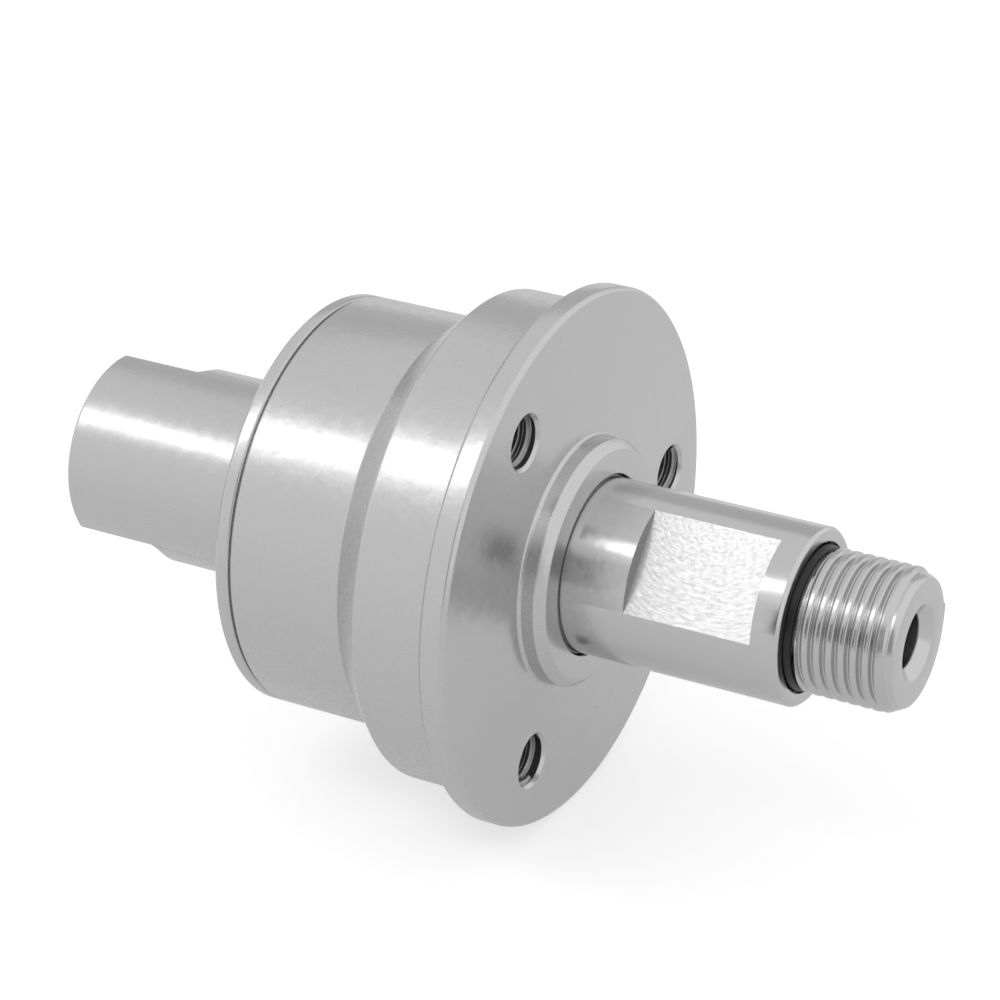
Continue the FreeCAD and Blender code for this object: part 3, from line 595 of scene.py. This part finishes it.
def male_limit(x):
    """The radius of the steep cone at the neck or of the lead-in chamfer, whichever is less."""
    chamfer = G_CREST - THREAD_CHAMFER * (1 - (THREAD_END - x) / CHAMFER_LENGTH)
    bound = min(NECK + ENTRY_SLOPE * (x - NECK_END), chamfer)
    return bound if bound > THREAD_ROOT else THREAD_ROOT - UNDER_THE_CORE


male_thread = thread(G_PITCH, THREAD_ROOT, G_CREST, FIRST_CREST - G_PITCH / 2, THREAD_END, male_limit,
                     at_angle=NEAR_ANGLE, valley=0.2)
for face in male_thread.faces:
    face.material_index = CUT_SIDE
shaft_piece = piece(join(shaft, male_thread), "shaft_body", "rotor", "ground_steel", "shaft")

# %% [markdown]
# ## The seal ring
#
# A black elastomer ring sits in the recess at the root of the male thread. It stands a little proud and
# has a bevelled face that is squeezed flat when the union is screwed home. It is turned like the metal,
# with softer corners, because moulded rubber has no sharp ones.

# %% Seal ring
SEAL_RADIUS = 10.65
SEAL_LIP = 38.3
SEAL_BEVEL = 0.3
SEAL_BORE = NECK + 0.05
SEAL_ROUNDING = 0.25

seal_ring = turned([
    (RECESS_FLOOR, SEAL_BORE),
    (RECESS_FLOOR, SEAL_RADIUS),
    (SHOULDER, SEAL_RADIUS),
    (SEAL_LIP, SEAL_RADIUS - SEAL_BEVEL),
    (SEAL_LIP, SEAL_BORE),
], steps=192, rounding=SEAL_ROUNDING)
seal_piece = piece(seal_ring, "thread_seal", "rotor", "black_rubber", "thread_seal_ring")

# %% [markdown]
# ## Materials
#
# Every finish here is metal, rubber or plastic, and they live from their surface more than from their
# colour. One function turns a colour written as on a web page into the linear values that Blender's
# sockets take, and one adds a node with its settings and its links. Two more start a material and let
# one pattern drive its roughness and its bumps, because dents and dullness lie in the same places on a
# real surface.

# %% Colour and node helpers
def linear(code):
    """A linear RGBA colour from an sRGB hex code."""
    channels = [int(code[index:index + 2], 16) / 255 for index in (1, 3, 5)]
    return [c / 12.92 if c <= 0.04045 else ((c + 0.055) / 1.055) ** 2.4 for c in channels] + [1]


def add(tree, kind, inputs=(), **settings):
    """Adds a node. Each input is set to a value, or linked if it is given another node's output."""
    node = tree.nodes.new(kind)
    for name, value in settings.items():
        setattr(node, name, value)
    for name, value in dict(inputs).items():
        if isinstance(value, bpy.types.NodeSocket):
            tree.links.new(value, node.inputs[name])
        else:
            node.inputs[name].default_value = value
    return node


# %% Start a material, and roughen it
def surface(name, colour, metallic=0.0):
    """A material, its node tree and the object coordinates that its pattern reads."""
    material = bpy.data.materials.new(name)
    material.use_nodes = True
    tree = material.node_tree
    shader = tree.nodes["Principled BSDF"]
    shader.inputs["Base Color"].default_value = linear(colour)
    shader.inputs["Metallic"].default_value = metallic
    return material, tree, add(tree, "ShaderNodeTexCoord").outputs["Object"]


def roughen(tree, pattern, roughness, spread, depth_mm, low=0.0, high=1.0):
    """Roughness either side of its mean and bumps of a real depth, as the pattern goes from low to high."""
    shader = tree.nodes["Principled BSDF"]
    rough = add(tree, "ShaderNodeMapRange", {"Value": pattern, "From Min": low, "From Max": high,
                                             "To Min": roughness - spread,
                                             "To Max": roughness + spread}).outputs[0]
    bump = add(tree, "ShaderNodeBump", {"Height": pattern, "Strength": 1.0, "Distance": depth_mm * MM})
    tree.links.new(rough, shader.inputs["Roughness"])
    tree.links.new(bump.outputs[0], shader.inputs["Normal"])


# %% [markdown]
# A lathe leaves fine rings about the axis, so its marks depend only on x and on the distance from the
# axis. A noise that reads just these two numbers has no seam and runs round cylinders and faces alike.
# A second, even noise gives the soft mottling of the satin skin. The real marks of tool and grit are
# mostly under 0.1 mm, too fine to show at this distance, so the rings are drawn at 0.1 to 0.5 mm and the
# mottling at 0.4 to 2.4 mm, as coarse as they need.

# %% Turned stainless steel
SPREAD = 0.08


def turned_metal(name, colour, roughness, marks_mm, mottle_mm, depth_mm):
    """Metal with rings about the X axis and a faint mottling, each as steep as the other."""
    material, tree, place = surface(name, colour, metallic=1.0)
    parts = add(tree, "ShaderNodeSeparateXYZ", {"Vector": place}).outputs
    square_y = add(tree, "ShaderNodeMath", {0: parts["Y"], 1: 2.0}, operation="POWER").outputs[0]
    square_z = add(tree, "ShaderNodeMath", {0: parts["Z"], 1: 2.0}, operation="POWER").outputs[0]
    total = add(tree, "ShaderNodeMath", {0: square_y, 1: square_z}).outputs[0]
    radius = add(tree, "ShaderNodeMath", {0: total, 1: 0.5}, operation="POWER").outputs[0]
    ring = add(tree, "ShaderNodeCombineXYZ", {"X": parts["X"], "Y": radius}).outputs[0]
    marks = add(tree, "ShaderNodeTexNoise", {"Vector": ring, "Scale": 1 / (marks_mm * MM), "Detail": 2.0})
    mottle = add(tree, "ShaderNodeTexNoise", {"Vector": place, "Scale": 1 / (mottle_mm * MM),
                                              "Detail": 1.0})
    share = mottle_mm / (mottle_mm + marks_mm)
    mix = add(tree, "ShaderNodeMix", {0: share, "A": marks.outputs[0], "B": mottle.outputs[0]}).outputs[0]
    roughen(tree, mix, roughness, SPREAD, depth_mm)
    return material


# Turned stainless is a satin grey that blurs a lamp into a soft strip, and ground stainless keeps the
# strip bright and clear. Lapped bearing steel is nearly a mirror. Zinc-plated sheet is cooler and duller,
# oiled spring steel dark with a soft gloss, and machined bronze a warm yellow brown.
finishes = {
    "turned_steel": turned_metal("fine_turned_stainless", "#C8C8C8", roughness=0.27, marks_mm=0.3,
                                 mottle_mm=1.6, depth_mm=0.03),
    "ground_steel": turned_metal("ground_stainless", "#C8C8C8", roughness=0.2, marks_mm=0.2,
                                 mottle_mm=1.6, depth_mm=0.015),
    "bearing_steel": turned_metal("lapped_bearing_steel", "#C4C4C8", roughness=0.08, marks_mm=0.1,
                                  mottle_mm=0.4, depth_mm=0.0002),
    "pressed_steel": turned_metal("zinc_plated_sheet", "#B0B2B4", roughness=0.28, marks_mm=0.5,
                                  mottle_mm=0.8, depth_mm=0.001),
    "spring_steel": turned_metal("oiled_spring_steel", "#5E5E60", roughness=0.32, marks_mm=0.3,
                                 mottle_mm=0.5, depth_mm=0.001),
    "bush_bronze": turned_metal("bearing_bronze", "#B98A4A", roughness=0.3, marks_mm=0.3,
                                mottle_mm=0.6, depth_mm=0.001),
}
print("metals:", [material.name for material in finishes.values()])


# %% [markdown]
# Rubber and plastics are not metals: their colour shows straight from the surface and the gloss lies on
# top of it. Moulded rubber has a dull bloom with a faint sheen, filled fluoropolymer is smooth and
# greasy, and polyamide is pale and slightly see-through, drawn here as a warm off-white.

# %% Rubber and plastics
def moulded(name, colour, roughness, grain_mm, depth_mm):
    """A moulded material with the fine grain of its mould."""
    material, tree, place = surface(name, colour)
    grain = add(tree, "ShaderNodeTexNoise", {"Vector": place, "Scale": 1 / (grain_mm * MM),
                                             "Detail": 5.0}).outputs[0]
    roughen(tree, grain, roughness, SPREAD, depth_mm)
    return material


finishes["black_rubber"] = moulded("nitrile_rubber", "#0C0C0C", roughness=0.36, grain_mm=0.3,
                                   depth_mm=0.004)
finishes["seal_plastic"] = moulded("filled_fluoropolymer", "#4C4F4E", roughness=0.4, grain_mm=0.3,
                                   depth_mm=0.003)
finishes["cage_plastic"] = moulded("polyamide", "#D8CFB8", roughness=0.45, grain_mm=0.25,
                                   depth_mm=0.003)
print("finishes:", len(finishes))

# %% [markdown]
# The wrench flats are milled, not turned. Every tooth of the cutter leaves an arc round the spindle, so
# the marks are strokes along circles that share a centre beside the flat. A noise that is read by
# distance from that centre and, much more slowly, by angle, is drawn out into such arcs. The light
# breaks up on them into white patches and grey streaks.
#
# Three more finishes tell the other tools apart. A faced surface is smoother than a turned one and shows
# its surroundings as soft clouds. The cut thread is bright and sharp, so its crests glint. Drilled walls
# are rougher and painted a darker grey, a painted shade for the inside of the holes, which the shaft's
# bore and the end walls of the wrench flats share.

# %% Milled flats
STROKE_STRETCH = 6
CUTTER_X = 23
CUTTER_UP = 16


def milled_metal(name, colour, roughness, stroke_mm, depth_mm, centre_x, centre_up, up):
    """Metal with arcs round a centre, given by its x and its distance along up, in millimetres."""
    material, tree, place = surface(name, colour, metallic=1.0)
    along = add(tree, "ShaderNodeVectorMath", {0: place, 1: X_AXIS},
                operation="DOT_PRODUCT").outputs["Value"]
    height = add(tree, "ShaderNodeVectorMath", {0: place, 1: up},
                 operation="DOT_PRODUCT").outputs["Value"]
    across = add(tree, "ShaderNodeMath", {0: along, 1: centre_x * MM}, operation="SUBTRACT").outputs[0]
    below = add(tree, "ShaderNodeMath", {0: centre_up * MM, 1: height}, operation="SUBTRACT").outputs[0]
    turn = add(tree, "ShaderNodeMath", {0: across, 1: below}, operation="ARCTAN2").outputs[0]
    slow = add(tree, "ShaderNodeMath", {0: turn, 1: STROKE_STRETCH * MM}, operation="MULTIPLY").outputs[0]
    flat_place = add(tree, "ShaderNodeCombineXYZ", {"X": across, "Y": below}).outputs[0]
    reach = add(tree, "ShaderNodeVectorMath", {0: flat_place}, operation="LENGTH").outputs["Value"]
    polar = add(tree, "ShaderNodeCombineXYZ", {"X": reach, "Y": slow}).outputs[0]
    strokes = add(tree, "ShaderNodeTexNoise", {"Vector": polar, "Scale": 1 / (stroke_mm * MM),
                                               "Detail": 3.0, "Roughness": 0.6, "Distortion": 0.3})
    roughen(tree, strokes.outputs[0], roughness, 0.12, depth_mm, low=0.3, high=0.7)
    return material


up_the_flat = (0, math.sin(FLAT_ANGLE), -math.cos(FLAT_ANGLE))
# The milled grey is lighter than the turned steel's: a painted highlight, so the flats show nearly white.
milled_painted_highlight = milled_metal("milled_stainless_painted_highlight", "#D6D6D6", roughness=0.4, stroke_mm=0.4,
                             depth_mm=0.026, centre_x=CUTTER_X, centre_up=CUTTER_UP, up=up_the_flat)
faced_finish = turned_metal("faced_stainless", "#CACACA", roughness=0.24, marks_mm=0.3,
                            mottle_mm=2.4, depth_mm=0.04)
# The darker grey of the drilled finish is painted shade for the inside of holes and bores.
drilled_painted_shade = turned_metal("drilled_stainless_painted_shade", "#9A9A9A", roughness=0.3, marks_mm=0.4,
                              mottle_mm=1.0, depth_mm=0.004)
cut_finish = turned_metal("cut_thread_stainless", "#C4C4C4", roughness=0.23, marks_mm=0.12,
                          mottle_mm=1.0, depth_mm=0.015)
print("tool finishes:", [f.name for f in (milled_painted_highlight, faced_finish, drilled_painted_shade, cut_finish)])

# %% [markdown]
# Every CAD node gets the finish of its slot, also those inside, because the model can be taken apart.
# A piece with faces from several tools gets one material for each, in the order of its face numbers.

# %% Give every node its finish
slots = {entry["node"]: entry["material_slot"] for entry in frame["record"]["subparts"]}
for name, node in frame["nodes"].items():
    node.data.materials.clear()
    node.data.materials.append(finishes[slots[name]])
for obj, materials in (
    (housing_piece, (finishes["turned_steel"], drilled_painted_shade, faced_finish)),
    (cap_piece, (finishes["turned_steel"],)),
    (shaft_piece, (finishes["ground_steel"], milled_painted_highlight, cut_finish, drilled_painted_shade)),
    (seal_piece, (finishes["black_rubber"],)),
):
    for material in materials:
        obj.data.materials.append(material)
print("finishes on", len(frame["nodes"]), "nodes and 4 pieces")


# %% [markdown]
# ## Studio
#
# The object lies over a white floor under one softbox, set where the shaft and the body mirror it as a
# bright strip. The world is white to the camera and to reflections, and a little greyer to matt
# surfaces, so that a colour renders about as it is written. The floor is white paper to the eye and a
# little greyer where steel mirrors it, and it keeps the object's shadow.

# %% Floor
FLOOR_LEVEL = -40.0 * MM
FLOOR_SIZE = 3
PAPER_GLOW = 0.5
LESS_IN_MIRRORS = -0.1
WHITE = (1, 1, 1, 1)
BLACK = (0, 0, 0, 1)


def to_eye_and_mirror(tree):
    """1 for the rays that show a background: straight, mirrored or through glass."""
    path = add(tree, "ShaderNodeLightPath").outputs
    seen = add(tree, "ShaderNodeMath", {0: path["Is Camera Ray"], 1: path["Is Glossy Ray"]},
               operation="MAXIMUM").outputs[0]
    return add(tree, "ShaderNodeMath", {0: seen, 1: path["Is Transmission Ray"]},
               operation="MAXIMUM").outputs[0]


ground = bmesh.new()
bmesh.ops.create_grid(ground, x_segments=1, y_segments=1, size=FLOOR_SIZE)
bmesh.ops.translate(ground, vec=(0, 0, FLOOR_LEVEL), verts=ground.verts)
floor = bpy.data.objects.new("floor", mesh_from(ground, "floor"))
bpy.context.scene.collection.objects.link(floor)

paper = bpy.data.materials.new("white_paper")
paper.use_nodes = True
tree = paper.node_tree
shader = tree.nodes["Principled BSDF"]
shader.inputs["Roughness"].default_value = 0.9
shader.inputs["Emission Color"].default_value = WHITE
mirrored = add(tree, "ShaderNodeLightPath").outputs["Is Glossy Ray"]
shade = add(tree, "ShaderNodeMix", {"Factor": mirrored, "A": linear("#E6E6E6"), "B": linear("#B4B4B4")},
            data_type="RGBA")
tree.links.new(shade.outputs["Result"], shader.inputs["Base Color"])
glow = add(tree, "ShaderNodeMath", {0: to_eye_and_mirror(tree), 1: PAPER_GLOW}, operation="MULTIPLY")
faint = add(tree, "ShaderNodeMath", {0: mirrored, 1: LESS_IN_MIRRORS, 2: glow.outputs[0]},
            operation="MULTIPLY_ADD")
tree.links.new(faint.outputs[0], shader.inputs["Emission Strength"])
floor.data.materials.append(paper)
print("floor at", round(FLOOR_LEVEL / MM), "mm")

# %% World
WORLD_ON_MATT = 0.7
WORLD_SEEN = 1.0

world = bpy.data.worlds.new("studio")
world.use_nodes = True
bpy.context.scene.world = world
tree = world.node_tree
background = tree.nodes["Background"]
level = add(tree, "ShaderNodeMapRange", {"Value": to_eye_and_mirror(tree), "To Min": WORLD_ON_MATT,
                                         "To Max": WORLD_SEEN})
tree.links.new(level.outputs[0], background.inputs["Strength"])
background.inputs["Color"].default_value = WHITE
print("world:", WORLD_ON_MATT, "on matt surfaces,", WORLD_SEEN, "where it is seen")

# %% Softbox
def softbox(name, direction, distance, size_x, size_y, radiance):
    """A rectangular lamp that faces the object. Its long side lies along the object's axis."""
    lamp = bpy.data.lights.new(name, "AREA")
    lamp.shape = "RECTANGLE"
    lamp.size = size_x
    lamp.size_y = size_y
    lamp.energy = radiance * math.pi * size_x * size_y
    obj = bpy.data.objects.new(name, lamp)
    away = Vector(direction).normalized()
    across = (Vector(X_AXIS) - away * away.x).normalized()
    obj.location = away * distance
    obj.rotation_euler = Matrix((across, away.cross(across), away)).transposed().to_euler()
    bpy.context.scene.collection.objects.link(obj)
    return obj


softbox("key_softbox", (-0.43, -0.50, 0.75), distance=0.9, size_x=0.9, size_y=0.19, radiance=2.2)

# %% [markdown]
# Steel shows its form only by what it mirrors, and an all-white room would leave it flat. Grey cards
# stand behind the object, above it and to the left, so that round things fade towards their edges. Two
# dark flags stand in front: a large one for the band round the boss and the shaft's root, and a small
# one, 9 by 16 mm, beside the thread, whose crests it turns dark on the side of the camera. The cards
# and flags show in reflections alone. Each gives off its own level of light, which is the tone that a
# mirror would show.

# %% Cards and flags
def mirrored_card(name, direction, distance, width, height, level, target=(0, 0, 0)):
    """A board that only reflections see, square to its target, of one level from 0 to 1."""
    away = Vector(direction).normalized()
    across = Vector((0, 0, 1)).cross(away).normalized()
    board = bmesh.new()
    bmesh.ops.create_grid(board, x_segments=1, y_segments=1, size=0.5)
    bmesh.ops.scale(board, vec=(width, height, 1), verts=board.verts)
    bmesh.ops.transform(board, verts=board.verts,
                        matrix=Matrix.Translation(Vector(target) + away * distance)
                        @ Matrix((across, away.cross(across), away)).transposed().to_4x4())
    obj = bpy.data.objects.new(name, mesh_from(board, name))
    bpy.context.scene.collection.objects.link(obj)
    obj.visible_camera = False
    obj.visible_diffuse = False
    obj.visible_shadow = False
    paint = bpy.data.materials.new(name)
    paint.use_nodes = True
    shader = paint.node_tree.nodes["Principled BSDF"]
    shader.inputs["Base Color"].default_value = BLACK
    shader.inputs["Specular IOR Level"].default_value = 0.0
    shader.inputs["Emission Color"].default_value = WHITE
    shader.inputs["Emission Strength"].default_value = level
    obj.data.materials.append(paint)
    return obj


mirrored_card("back_card", (-0.43, 0.8, 0.45), distance=1.6, width=2.4, height=1.3, level=0.59)
mirrored_card("top_card", (-0.43, 0.16, 0.89), distance=1.3, width=2.0, height=1.3, level=0.85)
mirrored_card("left_card", (-0.5, -0.8, 0.25), distance=1.2, width=1.1, height=0.9, level=0.86)
mirrored_card("front_flag", (0.41, -0.86, 0.3), distance=0.6, width=0.5, height=0.4, level=0.38)
mirrored_card("thread_flag", (-0.335, -0.916, 0.221), distance=0.03, width=0.0093, height=0.016,
              level=0.06, target=(0.0452, -0.0097, 0.0039))

# %% [markdown]
# Last comes the plain colour transform, so that a grey in the scene is the same grey in the picture.

# %% Colour settings and the end
bpy.context.scene.view_settings.view_transform = "Standard"
